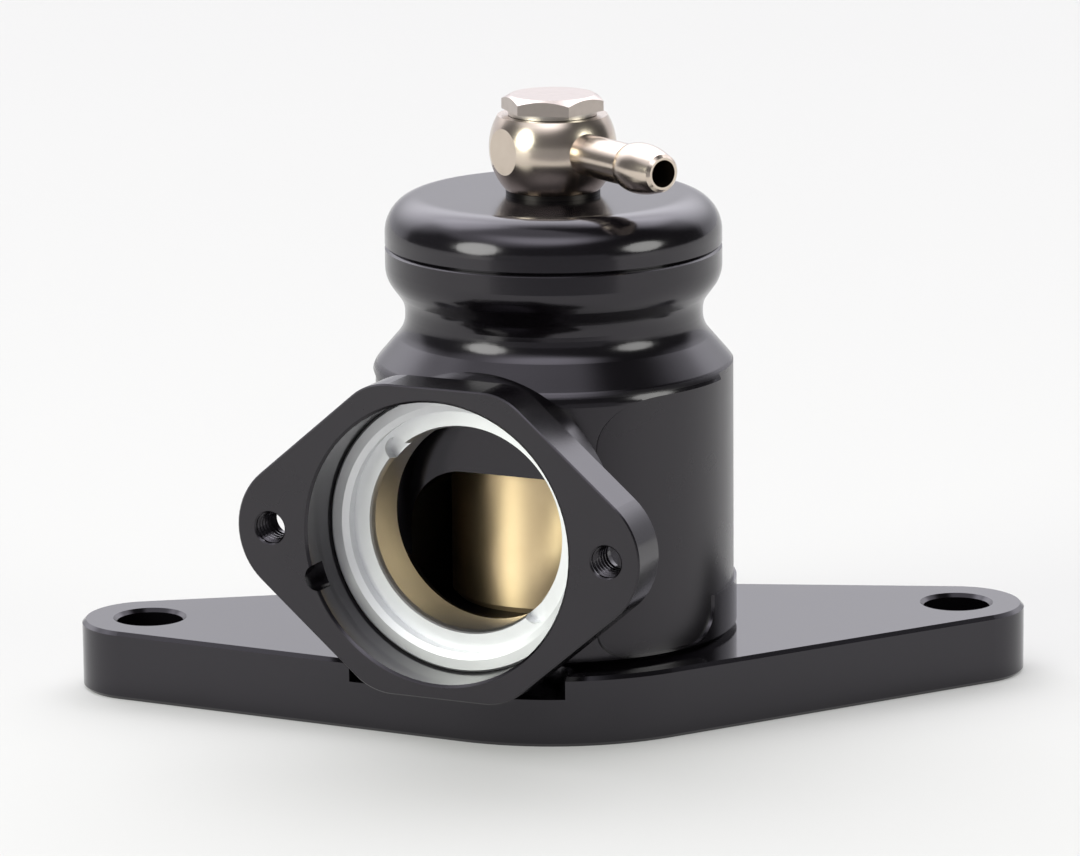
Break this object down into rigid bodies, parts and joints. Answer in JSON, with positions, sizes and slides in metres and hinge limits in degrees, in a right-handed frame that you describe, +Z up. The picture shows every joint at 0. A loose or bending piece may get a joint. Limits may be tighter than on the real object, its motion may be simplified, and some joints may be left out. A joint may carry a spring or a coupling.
{
  "type": "blow off valve",
  "caption": "Bolt-on turbo blow off valve: base plate, waisted body with an angled flanged outlet, sprung piston, screwed cap and a banjo hose fitting.",
  "frame": {"origin": "centre of the inlet bore in the underside of the base plate, on the valve axis", "axes": "+Z up along the valve axis towards the cap, +X along the plate from one bolt hole to the other, the outlet port faces -Y turned 27.3 degrees towards -X"},
  "size_m": [0.1284, 0.0725, 0.0817],
  "materials": {
    "anodised_black": "black anodised, satin",
    "bare_aluminium": "turned, clear anodised",
    "brass": "polished",
    "nickel_plate": "nickel plated",
    "washer_metal": "plain",
    "spring_steel": "drawn wire",
    "screw_steel": "zinc plated",
    "guide_plastic": "plain",
    "seal_rubber": "matte"
  },
  "bodies": {
    "housing": {"base_plate": "anodised_black", "valve_body": "anodised_black", "top_cap": "anodised_black", "port_ring": "bare_aluminium", "body_screws": "screw_steel", "banjo_bolt": "nickel_plate", "banjo_washer_upper": "washer_metal", "banjo_washer_lower": "anodised_black", "piston_spring": "spring_steel", "cap_o_ring": "seal_rubber", "body_base_o_ring": "seal_rubber", "inlet_face_o_ring": "seal_rubber", "port_ring_o_ring": "seal_rubber"},
    "piston": {"piston": "brass", "piston_o_ring": "seal_rubber", "piston_guide_ring": "guide_plastic"},
    "banjo": {"banjo_fitting": "nickel_plate"}
  },
  "joints": [
    {"name": "piston_lift", "type": "slide", "parent": "housing", "child": "piston", "axis": [0, 0, 1], "range_m": [0, 0.01], "stiffness_N_per_m": 2240, "springref_m": -0.0139, "deforming": ["piston_spring"]},
    {"name": "banjo_swivel", "type": "hinge", "parent": "housing", "child": "banjo", "pos_m": [0, 0, 0.07465], "axis": [0, 0, 1], "continuous": true}
  ]
}
